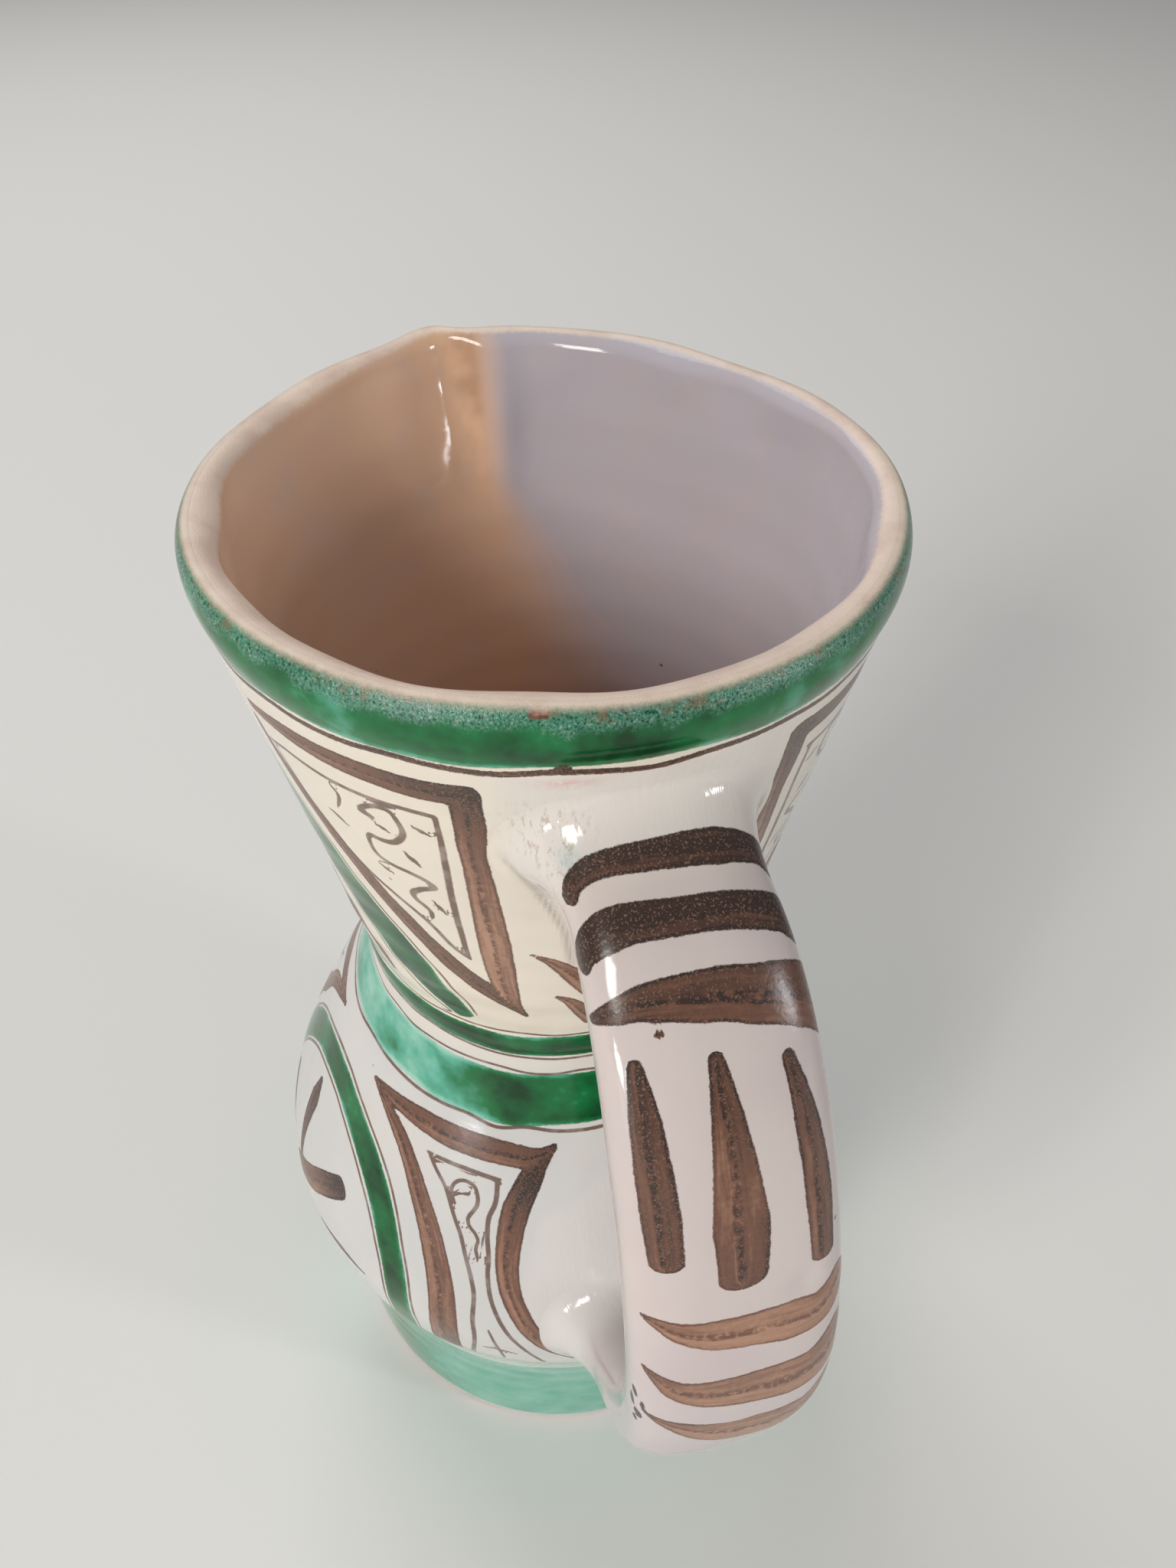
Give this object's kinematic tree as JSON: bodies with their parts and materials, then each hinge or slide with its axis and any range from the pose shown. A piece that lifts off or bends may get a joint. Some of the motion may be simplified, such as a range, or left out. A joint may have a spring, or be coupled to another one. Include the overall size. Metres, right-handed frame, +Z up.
{
  "type": "pitcher",
  "caption": "Tin-glazed earthenware pitcher with a round belly, flaring funnel neck, pinched spout, green glaze bands and a brown-striped strap handle.",
  "frame": {"origin": "centre of the flat underside of the foot, on the wheel's axis", "axes": "+Z up along the wheel's axis, +X towards the handle, -X towards the spout"},
  "size_m": [0.1501, 0.1142, 0.21],
  "materials": {
    "bare_clay": "unglazed fired earthenware",
    "white_glaze": "glossy cream tin glaze with brown brush strokes",
    "lining_glaze": "glossy pinkish white tin glaze",
    "green_glaze": "glossy mottled copper green glaze",
    "turquoise_glaze": "glossy thin copper green glaze, turquoise where it thins"
  },
  "bodies": {
    "root": {"foot": "bare_clay", "belly": "white_glaze", "neck": "white_glaze", "handle": "white_glaze", "upper_handle_joint": "white_glaze", "lower_handle_joint": "white_glaze", "belly_lining": "lining_glaze", "neck_lining": "lining_glaze", "rim_band": "green_glaze", "waist_band": "green_glaze", "shoulder_band": "turquoise_glaze", "foot_band": "turquoise_glaze"}
  },
  "joints": []
}
